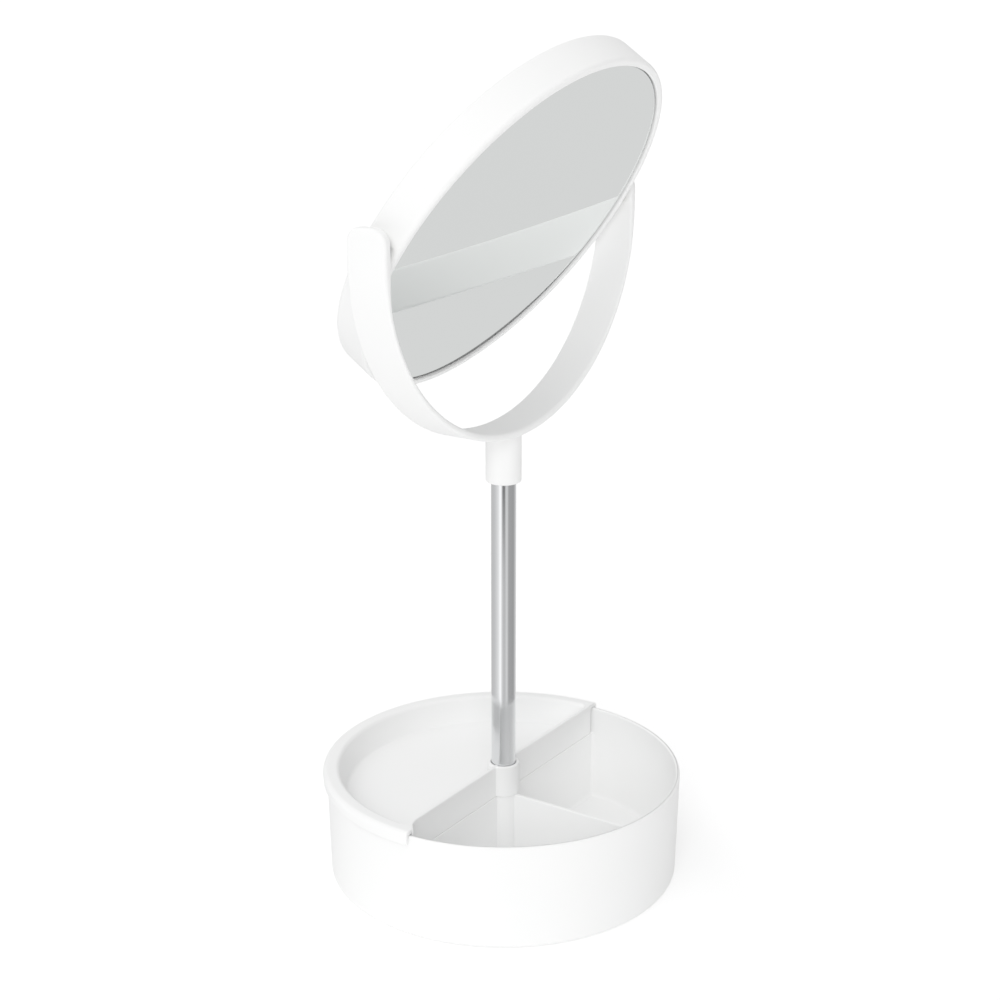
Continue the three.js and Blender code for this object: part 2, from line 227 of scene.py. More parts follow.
# %% Node helpers
def linear(hex_colour):
    """sRGB hex to linear RGBA: c / 12.92 when dark, else ((c + 0.055) / 1.055) ^ 2.4."""
    c = np.array([int(hex_colour[i : i + 2], 16) for i in (1, 3, 5)]) / 255
    return (*np.where(c <= 0.04045, c / 12.92, ((c + 0.055) / 1.055) ** 2.4), 1.0)


def add_node(tree, kind, inputs=None, **options):
    """Adds one node, sets its options, and gives each input a number or a link."""
    new = tree.nodes.new(kind)
    for key, value in options.items():
        setattr(new, key, value)
    for key, value in (inputs or {}).items():
        if isinstance(value, bpy.types.NodeSocket):
            tree.links.new(value, new.inputs[key])
        else:
            new.inputs[key].default_value = value
    return new


def new_finish(name, **surface):
    """A material with its shader's constant inputs set. Returns it with its tree, shader and coordinates."""
    made = bpy.data.materials.new(name)
    made.use_nodes = True
    tree = made.node_tree
    shader = tree.nodes["Principled BSDF"]
    for key, value in surface.items():
        shader.inputs[key.replace("_", " ")].default_value = value
    place = add_node(tree, "ShaderNodeTexCoord").outputs["Object"]
    return made, tree, shader, place


# %% [markdown]
# Most real surfaces vary in three ways at once: in tone, in gloss and in relief, each at its own scale. So
# one function makes a whole finish from up to three noises, each with the size of its blotches in
# millimetres and a rate along each axis, which is below 1 where a skin was drawn out lengthwise.

# %% A finish with patterns
EVEN = (1, 1, 1)
NOISE_LOW, NOISE_HIGH = 0.3, 0.7


def patterned(name, colours, noises, roughness=None, relief=None, **surface):
    """Each noise is (size in mm, detail, rate). The first mixes the two colours, the second carries
    the noise's usual range to the two ends of roughness, and the third raises a bump, which is given as
    (strength, height in mm)."""
    made, tree, shader, place = new_finish(name, **surface)
    values = []
    for size_mm, detail, rate in noises:
        scaled = add_node(tree, "ShaderNodeMapping", {"Vector": place, "Scale": rate})
        settings = {"Vector": scaled.outputs["Vector"], "Scale": 1 / (size_mm * MM), "Detail": detail}
        values.append(add_node(tree, "ShaderNodeTexNoise", settings).outputs["Fac"])
    mix = {"Fac": values[0], "Color1": linear(colours[0]), "Color2": linear(colours[1])}
    tree.links.new(add_node(tree, "ShaderNodeMixRGB", mix).outputs["Color"], shader.inputs["Base Color"])
    if roughness:
        carry = {"Value": values[1], "From Min": NOISE_LOW, "From Max": NOISE_HIGH,
                 "To Min": roughness[0], "To Max": roughness[1]}
        gloss = add_node(tree, "ShaderNodeMapRange", carry)
        tree.links.new(gloss.outputs["Result"], shader.inputs["Roughness"])
    if relief:
        raised = {"Height": values[2], "Strength": relief[0], "Distance": relief[1] * MM}
        tree.links.new(add_node(tree, "ShaderNodeBump", raised).outputs["Normal"], shader.inputs["Normal"])
    print("finish:", name)
    return made


# %% [markdown]
# ### White moulded ABS
# The tub, tray, yoke and ring are injection moulded ABS, whitened with titanium dioxide. The steel mould was
# polished, so the skin is glossy but not glassy: it has a faint orange peel about 2 mm across, a slight
# change of gloss where the melt flowed, and an IOR of 1.53.

# %% White plastic
white_abs = patterned(
    "white moulded ABS", ("#F5F6F6", "#F8F8F7"), [(60, 2, EVEN), (14, 3, EVEN), (2.2, 1, EVEN)],
    roughness=(0.3, 0.38), relief=(0.12, 0.02), IOR=1.53,
)

# %% [markdown]
# ### Chrome plate on drawn steel tube
# Chrome is a neutral, slightly blue metal. The tube was drawn through a die before it was plated, which
# leaves long, shallow waves along it: they break a highlight into soft vertical streaks.

# %% Chrome
chrome = patterned(
    "chrome plated tube", ("#D3D5D8", "#DCDDDE"),
    [(30, 2, EVEN), (7, 3, (1, 1, 0.18)), (2.4, 2, (1, 1, 0.05))],
    roughness=(0.07, 0.14), relief=(0.25, 0.03), Metallic=1.0,
)

# %% [markdown]
# ### Silvered glass
# A mirror is float glass with silver behind it. Iron in the glass takes a little red from the light on its
# way in and out, so the reflection is grey with a trace of green. Round the edge a thin dark line is painted:
# partly the black edge where the silver ends, partly painted shade of the gap between glass and ring. The
# mesh carries the distance from the edge in millimetres, less a painted shade and dark reflection that widen
# the line at the lower right, and the material turns from the dark colour to silver at EDGE_LINE.

# %% Mirror
EDGE_LINE, EDGE_SOFT = 0.2, 0.12
silvered = patterned(
    "silvered float glass", ("#EFF2F1", "#ECF0EE"), [(90, 2, EVEN), (35, 4, EVEN)],
    roughness=(0.004, 0.03), IOR=1.52,
)
tree = silvered.node_tree
shader = tree.nodes["Principled BSDF"]
tint = shader.inputs["Base Color"].links[0].from_socket
edge = add_node(tree, "ShaderNodeAttribute", attribute_name="to_edge").outputs["Fac"]
silver = add_node(tree, "ShaderNodeMapRange", {
    "Value": edge, "From Min": EDGE_LINE, "From Max": EDGE_LINE + EDGE_SOFT}).outputs["Result"]
# The dark colour is partly the black edge of the silver, partly painted shade and dark reflection at the
# glass edge.
tone = add_node(tree, "ShaderNodeMixRGB", {"Fac": silver, "Color1": linear("#0C1012"), "Color2": tint})
tree.links.new(tone.outputs["Color"], shader.inputs["Base Color"])
tree.links.new(silver, shader.inputs["Metallic"])
print(silvered.name, "with a painted dark edge", EDGE_LINE, "mm in from the edge or more")

# %% [markdown]
# ### Small fittings
# Zinc-plated steel is a soft, greyish metal with a fine grain. Acetal is a milky, waxy plastic. The feet
# are moulded rubber, the pads a closed-cell foam tape with pores under a millimetre across.

# %% Steel, acetal, rubber and foam
zinc = patterned(
    "zinc plated steel", ("#A4A7AB", "#B4B6B8"), [(4, 2, EVEN), (1.5, 3, EVEN), (0.8, 2, EVEN)],
    roughness=(0.28, 0.45), relief=(0.15, 0.02), Metallic=1.0,
)
acetal = patterned(
    "natural acetal", ("#E9E7DF", "#F1EFE9"), [(8, 2, EVEN), (3, 3, EVEN), (1.2, 2, EVEN)],
    roughness=(0.38, 0.5), relief=(0.1, 0.02), IOR=1.48,
)
rubber = patterned(
    "moulded rubber", ("#4C4F51", "#5C5F61"), [(3, 2, EVEN), (2, 3, EVEN), (0.6, 2, EVEN)],
    roughness=(0.75, 0.92), relief=(0.3, 0.05), IOR=1.52,
)
PORE_MM, PORE_DEPTH_MM = 0.7, 0.15
foam, tree, shader, place = new_finish("closed-cell foam tape", Roughness=0.95)
cells = {"Vector": place, "Scale": 1 / (PORE_MM * MM)}
pores = add_node(tree, "ShaderNodeTexVoronoi", cells).outputs["Distance"]
# The pore hollows are painted darker by the same pattern that dents them: painted shade in the pores.
shaded_pores = add_node(tree, "ShaderNodeMixRGB", {
    "Fac": pores, "Color1": linear("#8F9292"), "Color2": linear("#B9BCBC")})
dents = add_node(tree, "ShaderNodeBump", {"Height": pores, "Strength": 0.5, "Distance": PORE_DEPTH_MM * MM})
tree.links.new(shaded_pores.outputs["Color"], shader.inputs["Base Color"])
tree.links.new(dents.outputs["Normal"], shader.inputs["Normal"])
print("fittings:", [m.name for m in (zinc, acetal, rubber, foam)])

# %% [markdown]
# ## The tub
# The tub is one moulding: floor, tapered wall with a rolled rim, and a hub post that holds the pole. All of
# that is round, so one closed profile turned about the pole makes it. The hub is hollow: the pole sits in
# it from above, and a screw and washer hold it from a pocket below.

# %% Tub dimensions
FLOOR_BOTTOM, FLOOR_TOP, FLOOR_DRAFT, FLOOR_ROUND = 0.8, 3.0, 0.05, 2.2
BASE_RADIUS, RIM_RADIUS, TUB_WALL, RIM_TOP, RIM_ROUND = 85.9, 87.1, 2.0, 53.0, 0.98
HUB_RADIUS, HUB_TOP, HUB_BORE, HUB_DRAFT, HUB_FOOT = 7.2, 39.2, 6.1, 0.1, 1.8
SCREW_POCKET, POCKET_TOP, SCREW_HOLE, WEB_TOP = 5.6, 9.0, 2.6, 12.0
CRISP, SOFT = 0.2, 0.4

tub_profile = rounded([
    (SCREW_POCKET, FLOOR_BOTTOM, SOFT),
    (BASE_RADIUS - FLOOR_DRAFT, FLOOR_BOTTOM, FLOOR_ROUND),
    (RIM_RADIUS, RIM_TOP, RIM_ROUND),
    (RIM_RADIUS - TUB_WALL, RIM_TOP, RIM_ROUND),
    (BASE_RADIUS - TUB_WALL, FLOOR_TOP, FLOOR_ROUND),
    (HUB_RADIUS + HUB_DRAFT, FLOOR_TOP, HUB_FOOT),
    (HUB_RADIUS, HUB_TOP, SOFT),
    (HUB_BORE, HUB_TOP, 0.25),
    (HUB_BORE, WEB_TOP, CRISP),
    (SCREW_HOLE, WEB_TOP, CRISP),
    (SCREW_HOLE, POCKET_TOP, CRISP),
    (SCREW_POCKET, POCKET_TOP, 0.3),
])
tub_shell = turned(tub_profile, 256)
print("tub profile points:", len(tub_profile))

# %% [markdown]
# ### Partitions
# A cross wall splits the tub in two, and a divider halves the front. Where a moulded wall meets a floor or
# another wall it spreads in a small fillet. A wall is a band that goes up one face, over a rounded top and
# down the other; near the floor and near its ends each face stands out by the fillet's own curve.

# %% A moulded upright wall
WALL_STEPS, FILLET_STEPS = 60, 12


def flare(distance, radius):
    """How far a fillet stands out at a distance from the corner: radius - sqrt(radius^2 - (radius - d)^2)."""
    near = radius - np.clip(distance, 0, radius)
    return radius - np.sqrt(radius**2 - near**2)


def near_ends(start, stop, count=48, fine=4.0, fine_count=14):
    """Positions from start to stop. The first and last stretch, fine long, have fine_count of them, which
    crowd towards the end as the 1.6th power, and the rest is even."""
    crowd = fine * np.linspace(0, 1, fine_count) ** 1.6
    return np.concatenate([
        start + crowd, np.linspace(start + fine, stop - fine, count)[1:-1], stop - crowd[::-1]])


def upright(x, front, back, heights, edge, floor, foot, end_of, end_fillet, sides=(1, 1), blunt=0.0):
    """Wall along X. Each section is a loop: up the front at y = front, over the top with edge radius,
    down the back at y = back. foot and end_fillet are fillet radii at the floor and at the ends, which
    lie at |x| = end_of(z); blunt rounds the wall's own ends off."""
    top = heights[-1]
    low = np.linspace(heights[0], top - edge - SUPPORT, WALL_STEPS)
    low = np.sort(np.concatenate([low, floor + foot * np.linspace(0, 1, FILLET_STEPS)]))
    angle = np.linspace(0, math.pi / 2, ARC_STEPS + 1)
    rise, inward = edge * np.sin(angle), edge * (1 - np.cos(angle))
    z_side = np.concatenate([low, top - edge + rise])
    inset = np.concatenate([0 * low, inward])
    z = np.concatenate([z_side, z_side[::-1]])
    inset = np.concatenate([inset, inset[::-1]])
    is_front = np.arange(len(z)) < len(z_side)
    x, z = np.broadcast_arrays(x[:, None], z[None, :])
    stand = flare(z - floor, foot) + flare(end_of(z) - np.abs(x), end_fillet)
    shrink = flare(np.abs(x).max() - np.abs(x), blunt)
    y = np.where(
        is_front,
        front + inset + shrink - sides[0] * stand,
        back - inset - shrink + sides[1] * stand,
    )
    return capped(np.stack([x, y, z], -1), *x.shape)


# %% The tub as one piece
PARTITION_TOP, PARTITION_END, PARTITION_HALF, PARTITION_FILLET = 39.25, 85.35, 1.0, 1.6
DIVIDER_START = 0.5


def tub_inside(z):
    """Radius of the tub's inner face, which opens evenly from floor to rim."""
    return BASE_RADIUS - TUB_WALL + (z - FLOOR_TOP) / (RIM_TOP - FLOOR_TOP) * (RIM_RADIUS - BASE_RADIUS)


partition = dict(
    front=-PARTITION_HALF, back=PARTITION_HALF, heights=(FLOOR_TOP - 1, PARTITION_TOP), edge=SOFT,
    floor=FLOOR_TOP, foot=PARTITION_FILLET, end_of=tub_inside, end_fillet=PARTITION_FILLET,
)
cross_wall = upright(near_ends(-PARTITION_END, PARTITION_END), **partition)
divider = moved(upright(near_ends(DIVIDER_START, PARTITION_END), **partition), turn("Z", -90))
piece("storage_tub", [tub_shell, cross_wall, divider], white_abs, "base", "white_plastic", "base_tub")

# %% [markdown]
# ### Rubber feet
# Four pads are pressed into seats under the floor. Each is a low turned disc with a soft edge.

# %% Feet
FOOT_RADIUS, FOOT_HEIGHT, FOOT_PITCH, FOOT_COUNT = 6.0, 1.7, 70.0, 4
foot_profile = rounded([
    (0, 0, 0), (FOOT_RADIUS, 0, 0.35), (FOOT_RADIUS, FOOT_HEIGHT, CRISP), (0, FOOT_HEIGHT, 0),
], closed=False)
for i in range(FOOT_COUNT):
    angle = math.radians(45 + 360 / FOOT_COUNT * i)
    at = (FOOT_PITCH * math.cos(angle), FOOT_PITCH * math.sin(angle), 0)
    shape = moved(turned(foot_profile, 64, on_axis=True), shift=at)
    piece(f"foot_pad_{i + 1}", [shape], rubber, "base", "rubber", f"rubber_foot_{i + 1}")

# %% [markdown]
# ## The pole
# Two chromed tubes slide one in the other. A tube is a ring profile turned about the pole, with the small
# radii that a deburring wheel leaves on its cut ends. An acetal bush with a thin flange guides the inner
# tube at the mouth of the outer one.

# %% Tubes and bush
TUBE_RADIUS, TUBE_BOTTOM, TUBE_TOP = 6.0, 12.3, 203.0
INNER_RADIUS, INNER_BOTTOM, INNER_TOP = 4.4, 61.9, 220.7
TUBE_WALL, INNER_WALL, DEBURRED, PLAY = 0.8, 0.7, 0.15, 0.1
BUSH_LENGTH, BUSH_FLANGE = 18.0, 1.1


def tube(outer, wall, bottom, top):
    """A turned ring between two radii, with all four edges rounded alike."""
    corners = [(outer - wall, bottom), (outer, bottom), (outer, top), (outer - wall, top)]
    return turned(rounded([(*c, DEBURRED) for c in corners]), 128)


outer_pole = tube(TUBE_RADIUS, TUBE_WALL, TUBE_BOTTOM, TUBE_TOP)
inner_pole = tube(INNER_RADIUS, INNER_WALL, INNER_BOTTOM, INNER_TOP)
piece("outer_pole", [outer_pole], chrome, "base", "chrome_tube", "outer_tube")
piece("inner_pole", [inner_pole], chrome, "yoke_carrier", "chrome_tube", "inner_tube")

bore, neck = INNER_RADIUS + PLAY, TUBE_RADIUS - TUBE_WALL - PLAY
foot_z, flange_z = TUBE_TOP - BUSH_LENGTH, TUBE_TOP + PLAY
bush_profile = rounded([
    (bore, foot_z, CRISP),
    (neck, foot_z, CRISP),
    (neck, flange_z, 0.1),
    (TUBE_RADIUS, flange_z, 0.15),
    (TUBE_RADIUS, flange_z + BUSH_FLANGE, 0.35),
    (bore, flange_z + BUSH_FLANGE, CRISP),
])
piece("guide_bush", [turned(bush_profile, 96)], acetal, "base", "acetal", "tube_bush")

# %% [markdown]
# ## The half tray
# The tray is a half-round dish with a broad rolled rim that laps over the tub. Its section is carried half
# way round the pole, and at one end the rim alone runs on a little, past the front wall. The cut ends are
# softened by shrinking the section as it nears them.

# %% Dish dimensions
DISH_IN, DISH_FLOOR, DISH_THICK, DISH_TOP = 7.1, 42.3, 2.0, 55.4
FOOT_IN, FOOT_OUT, FLOOR_COVE = 77.7, 79.2, 1.5
NECK, NECK_Z, UNDER_RIM_Z = 83.3, 52.6, 53.3
RIM_IN, RIM_OUT, SKIRT_IN, SKIRT_OUT, SKIRT_Z = 81.2, 89.3, 87.6, 88.75, 48.8
DISH_FIRST, DISH_LAST, HALF_WAY, END_EDGE = -0.5, 183.4, 180.3, 0.18
RIM_MIDDLE, RIM_CUT, RIM_CUT_Z, RIM_CUT_WIDTH = 87.0, 82.9, 50.5, 1.5

dish_section = rounded([
    (DISH_IN, DISH_FLOOR - DISH_THICK, CRISP),
    (FOOT_OUT, DISH_FLOOR - DISH_THICK, 1.0),
    (NECK, NECK_Z, 0.3),
    (NECK + 0.2, UNDER_RIM_Z, CRISP),
    (SKIRT_IN, UNDER_RIM_Z, 0.3),
    (SKIRT_IN, SKIRT_Z, 0.3),
    (SKIRT_OUT, SKIRT_Z, 0.45),
    (RIM_OUT, DISH_TOP, 2.6),
    (RIM_IN, DISH_TOP, 2.4),
    (FOOT_IN, DISH_FLOOR, FLOOR_COVE),
    (DISH_IN, DISH_FLOOR, CRISP),
])
print("dish section points:", len(dish_section))


# %% Dish section carried half way round
def half_round(section, first, last, edge):
    """Section point (r, z) carried to (r cos a, r sin a, z) from the first to the last angle. Near each end
    the outline moves inwards along its own normals by the flare curve of the edge radius. Past half way
    round, r and z are held at RIM_CUT and RIM_CUT_Z or above, so only the rim goes on."""
    degrees = np.concatenate([
        near_ends(first, HALF_WAY - 0.1, 150, 1.0, 12), np.linspace(HALF_WAY + 0.1, last, 24)])
    angle = np.radians(degrees)
    from_end = np.radians(np.minimum(degrees - first, last - degrees)) * RIM_MIDDLE
    ahead = np.roll(section, -1, 0) - np.roll(section, 1, 0)
    inward = np.stack([-ahead[:, 1], ahead[:, 0]], 1) / np.linalg.norm(ahead, axis=1)[:, None]
    at = section[None] + inward[None] * flare(from_end, edge)[:, None, None]
    past = (degrees > HALF_WAY)[:, None]
    r = np.where(past, np.maximum(at[..., 0], RIM_CUT), at[..., 0])
    low = past & (at[..., 0] < RIM_CUT + RIM_CUT_WIDTH)
    z = np.where(low, np.maximum(at[..., 1], RIM_CUT_Z), at[..., 1])
    points = np.stack([r * np.cos(angle)[:, None], r * np.sin(angle)[:, None], z], -1)
    return points.reshape(-1, 3), *r.shape


dish, rows, columns = half_round(dish_section, DISH_FIRST, DISH_LAST, END_EDGE)
print("dish grid:", rows, "x", columns)

# %% [markdown]
# A section that is not convex cannot be closed by a fan of triangles, so its two ends are closed by one
# many-sided face each, which Blender splits well by itself. The front wall rises from the dish with a
# cove at its foot, spreads towards the rim at the end where the rim runs on, and a sleeve rides on the pole.

# %% The tray as one piece
TRAY_FRONT, TRAY_BACK, TRAY_LOW, TRAY_WALL_END = -0.8, 1.2, 39.5, 83.6
TRAY_WALL_TOP, TRAY_EDGE, TRAY_BLUNT, TRAY_FILLET = DISH_TOP - 0.02, 0.7, 0.9, 2.0
SPREAD_RADIUS, SPREAD_START = 14.0, 3.3
COVE_RADIUS, COVE_Z, LIP_RADIUS, LIP_Z = 78.6, 44.7, 81.3, 54.0
SLEEVE_BORE, SLEEVE_RADIUS = 6.3, 7.9


def dish_inside(z):
    """Radius of the dish's inner face, which opens evenly from the floor cove to the rim."""
    return np.interp(z, [COVE_Z, LIP_Z], [COVE_RADIUS, LIP_RADIUS])


wall_x = near_ends(-TRAY_WALL_END, TRAY_WALL_END, 60, 12.0, 28)
spread_out = flare(TRAY_WALL_END + SPREAD_START + wall_x, SPREAD_RADIUS)
tray_wall = upright(
    wall_x, TRAY_FRONT - spread_out[:, None], TRAY_BACK, (TRAY_LOW, TRAY_WALL_TOP), TRAY_EDGE,
    floor=DISH_FLOOR, foot=FLOOR_COVE, end_of=dish_inside, end_fillet=TRAY_FILLET, sides=(0, 1),
    blunt=TRAY_BLUNT,
)
sleeve_profile = rounded([
    (SLEEVE_BORE, TRAY_LOW, 0.25), (SLEEVE_RADIUS, TRAY_LOW, 0.35),
    (SLEEVE_RADIUS, DISH_TOP, 0.55), (SLEEVE_BORE, DISH_TOP, 0.3),
])
sleeve = turned(sleeve_profile, 96)
tray = piece("turning_tray", [tray_wall, sleeve], white_abs, "tray", "white_plastic", "half_tray")


def add_carried(obj, points, rows, columns):
    """Adds a carried section to a piece as a closed shell, with one many-sided face at each end."""
    work = bmesh.new()
    work.from_mesh(obj.data)
    made = [work.verts.new(p * MM) for p in points]
    loops = grid_faces(rows, columns).tolist()
    loops += [list(range(columns)), list(range((rows - 1) * columns, rows * columns))]
    faces = [work.faces.new([made[k] for k in loop]) for loop in loops]
    bmesh.ops.recalc_face_normals(work, faces=faces)
    for face in faces:
        face.smooth = len(face.verts) == 4
    work.to_mesh(obj.data)
    work.free()


add_carried(tray, dish, rows, columns)
print("tray faces:", len(tray.data.polygons))

# %% [markdown]
# ## The yoke
# The yoke is one moulded band: straight at the tips, half an ellipse below, thick where the pivots sit,
# thin at the sides and thicker again at the bottom, where the socket grows out of it. Its outer and inner
# curves share one parameter, and a rounded rectangle is carried between them.

# %% Yoke curves
PIVOT_Z = 324.5
AT_PIVOT = (0, 0, PIVOT_Z)
ARC_Z = PIVOT_Z - 5
OUTER_X, OUTER_DROP, INNER_X, INNER_DROP = 103.5, 96.0, 101.6, 92.3
BOSS_X, BOSS_BLEND = 99.0, 0.5
TIP_Z, TIP_ROUND, BAND_HALF, BAND_EDGE = PIVOT_Z + 9.5, 7.0, 10.3, 1.6


def soft_min(a, b, blend):
    """The smaller of two numbers, with the kink between them rounded over about the blend distance."""
    return 0.5 * (a + b - np.sqrt((a - b) ** 2 + blend**2))


def yoke_curves():
    """Matched points of the outer and inner curves in the XZ plane, from the left tip to the right tip,
    and each point's distance from its tip along the straight part. The stations crowd at the tip's edge,
    stay close over its round, and spread out along the straight."""
    below = TIP_Z - ARC_Z
    d = np.concatenate([
        np.linspace(0, 1, 9) ** 2 * BAND_EDGE,
        np.linspace(BAND_EDGE, TIP_ROUND + 1, 14)[1:],
        np.linspace(TIP_ROUND + 1, below, 10)[1:],
    ])
    angle = np.linspace(math.pi, 2 * math.pi, 181)[1:-1]
    arc_outer = np.stack([OUTER_X * np.cos(angle), ARC_Z + OUTER_DROP * np.sin(angle)], 1)
    inner_x = INNER_X * np.cos(angle)
    clipped = np.sign(inner_x) * soft_min(np.abs(inner_x), BOSS_X, BOSS_BLEND)
    arc_inner = np.stack([clipped, ARC_Z + INNER_DROP * np.sin(angle)], 1)
    boss = soft_min(INNER_X, BOSS_X, BOSS_BLEND)
    left_outer = np.stack([0 * d - OUTER_X, TIP_Z - d], 1)
    left_inner = np.stack([0 * d - boss, TIP_Z - d], 1)
    flip = np.array([-1, 1])
    outer = np.concatenate([left_outer, arc_outer, left_outer[::-1] * flip])
    inner = np.concatenate([left_inner, arc_inner, left_inner[::-1] * flip])
    from_tip = np.concatenate([d, 0 * angle + below, d[::-1]])
    return outer, inner, from_tip


# %% Yoke band
def yoke_band():
    """The section at each station is a rounded rectangle from the inner to the outer curve, BAND_HALF to
    each side. Near a tip its half width follows a quarter circle, and the end face is edged like the rest.
    The edge radius is BAND_EDGE, or nine tenths of half the thickness where the band is thin."""
    outer, inner, from_tip = yoke_curves()
    thick = np.linalg.norm(outer - inner, axis=1)
    across = (outer - inner) / thick[:, None]
    angle = np.linspace(0, math.pi / 2, ARC_STEPS + 1)
    width = BAND_HALF - flare(from_tip, TIP_ROUND)
    end = flare(from_tip, BAND_EDGE)
    half_t = thick / 2 - end
    half_w = width - end
    edge = np.minimum(BAND_EDGE, half_t * 0.9)
    loops_u, loops_v = [], []
    for su, sv in ((1, 1), (-1, 1), (-1, -1), (1, -1)):
        a = angle if su * sv > 0 else angle[::-1]
        loops_u.append(su * (half_t[:, None] - edge[:, None] * (1 - np.cos(a))))
        loops_v.append(sv * (half_w[:, None] - edge[:, None] * (1 - np.sin(a))))
    u, v = np.concatenate(loops_u, 1), np.concatenate(loops_v, 1)
    middle = (outer + inner) / 2
    x = middle[:, :1] + across[:, :1] * u
    z = middle[:, 1:] + across[:, 1:] * u
    return capped(np.stack([x, v, z], -1), *x.shape)


band = piece("yoke_band", [yoke_band()], white_abs, "yoke_carrier", "white_plastic", "yoke")
BUSH_HOLE, BUSH_HOLE_START, BUSH_HOLE_LENGTH = 3.9, 97.0, 5.3
for side in (1, -1):
    lay = turn("Y", 90 * side)
    drilled(band, rod(BUSH_HOLE, BUSH_HOLE_LENGTH, lay, (BUSH_HOLE_START * side, 0, PIVOT_Z)))

# %% [markdown]
# ### The socket under the yoke
# A short round socket grips the inner tube and hides the mouth of the outer one. It is turned, with its bore
# stepped inside and a fillet where it runs into the band. A set screw holds it from behind, so a small hole
# is drilled for it.

# %% Socket
GRIP_RADIUS, GRIP_TOP = INNER_RADIUS + PLAY, 221.0
MOUTH_RADIUS, MOUTH_TOP = 6.4, 204.6
SOCKET_RADIUS, SOCKET_DRAFT, SOCKET_BOTTOM, SOCKET_ROUND, SOCKET_FILLET = 8.5, 0.05, 200.0, 1.2, 0.6
DISC_RADIUS, DISC_BOTTOM, DISC_TOP, DISC_EDGE = 9.4, 223.95, 225.2, 0.1
SCREW_RADIUS, SCREW_Z, SCREW_START, SCREW_LENGTH = 1.5, 213.0, 5, 7

socket_profile = rounded([
    (0, GRIP_TOP, 0),
    (GRIP_RADIUS, GRIP_TOP, CRISP),
    (GRIP_RADIUS, MOUTH_TOP, CRISP),
    (MOUTH_RADIUS, MOUTH_TOP, CRISP),
    (MOUTH_RADIUS, SOCKET_BOTTOM, 0.3),
    (SOCKET_RADIUS, SOCKET_BOTTOM, SOCKET_ROUND),
    (SOCKET_RADIUS + SOCKET_DRAFT, DISC_BOTTOM, SOCKET_FILLET),
    (DISC_RADIUS, DISC_BOTTOM, DISC_EDGE),
    (DISC_RADIUS, DISC_TOP, DISC_EDGE),
    (0, DISC_TOP, 0),
], closed=False)
socket = piece("yoke_socket", [turned(socket_profile, 128, on_axis=True)], white_abs, "yoke_carrier",
               "white_plastic", "yoke")
drilled(socket, rod(SCREW_RADIUS, SCREW_LENGTH, turn("X", -90), (0, SCREW_START, SCREW_Z)))

# %% [markdown]
# ### Pivots
# At each side a steel pin runs from the ring through a spring washer and an acetal bush into the yoke. They
# fill the narrow space beside the ring and hold the tilt by friction. Each is drawn along Z, as distances
# from the middle of the mirror, and then laid along X to one side or the other.

# %% Washers, bushes and pins
PIN_RADIUS, PIN_START, PIN_END = 2.4, 85.5, 101.6
WASHER_RADIUS, WASHER_START, WASHER_END = 6.0, 94.0, 94.6
FLANGE_RADIUS, FLANGE_START, FLANGE_END = 6.5, 94.9, 98.7
BUSH_RADIUS, BUSH_END = 3.8, 101.9
PIN_BORE = PIN_RADIUS + PLAY

bush_side = rounded([
    (PIN_BORE, FLANGE_START, CRISP), (FLANGE_RADIUS, FLANGE_START, SOFT), (FLANGE_RADIUS, FLANGE_END, 0.25),
    (BUSH_RADIUS, FLANGE_END, 0.15), (BUSH_RADIUS, BUSH_END, CRISP), (PIN_BORE, BUSH_END, 0.15),
])
washer_side = rounded([
    (PIN_BORE, WASHER_START, 0.12), (WASHER_RADIUS, WASHER_START, CRISP),
    (WASHER_RADIUS, WASHER_END, CRISP), (PIN_BORE, WASHER_END, 0.12),
])
pin_side = rounded([
    (0, PIN_START, 0), (PIN_RADIUS, PIN_START, 0.3), (PIN_RADIUS, PIN_END, 0.3), (0, PIN_END, 0),
], closed=False)
for side, degrees in (("right", 90), ("left", -90)):
    lay = turn("Y", degrees)
    piece(f"pivot_bush_{side}_turned", [moved(turned(bush_side, 64), lay, AT_PIVOT)], acetal,
          "yoke_carrier", "acetal", f"pivot_bush_{side}")
    piece(f"friction_washer_{side}_turned", [moved(turned(washer_side, 64), lay, AT_PIVOT)], zinc,
          "yoke_carrier", "steel", f"friction_washer_{side}")
    piece(f"pivot_pin_{side}_turned", [moved(turned(pin_side, 48, True), lay, AT_PIVOT)], zinc,
          "mirror_head", "steel", f"pivot_pin_{side}")

# %% [markdown]
# ## The mirror head
# The head is drawn lying down, with its front towards +Z, then stood up and tipped forward. The ring is a
# deep moulded hoop with rounded lips on both faces. A web inside it carries the two glasses back to back.

# %% Ring
TILT = 34.0
RING_RADIUS, RING_HALF, LIP_OUT_ROUND, LIP_IN_ROUND = 93.7, 9.15, 1.8, 0.7
POCKET_RADIUS, WEB_RADIUS, WEB_HALF = 89.9, 74.0, 1.5
PIN_HOLE, PIN_HOLE_START, PIN_HOLE_LENGTH = 2.45, 85.3, 9.0

stand = np.array(turn("X", TILT)) @ np.array(turn("X", 90))
ring_profile = rounded([
    (POCKET_RADIUS, -RING_HALF, LIP_IN_ROUND),
    (RING_RADIUS, -RING_HALF, LIP_OUT_ROUND),
    (RING_RADIUS, RING_HALF, LIP_OUT_ROUND),
    (POCKET_RADIUS, RING_HALF, LIP_IN_ROUND),
    (POCKET_RADIUS, WEB_HALF, 0.3),
    (WEB_RADIUS, WEB_HALF, SOFT),
    (WEB_RADIUS, -WEB_HALF, SOFT),
    (POCKET_RADIUS, -WEB_HALF, 0.3),
])
ring = moved(turned(ring_profile, 256), stand, AT_PIVOT)
hoop = piece("mirror_hoop", [ring], white_abs, "mirror_head", "white_plastic", "mirror_ring")
for side in (1, -1):
    lay = turn("Y", 90 * side)
    drilled(hoop, rod(PIN_HOLE, PIN_HOLE_LENGTH, lay, (PIN_HOLE_START * side, 0, PIVOT_Z)))
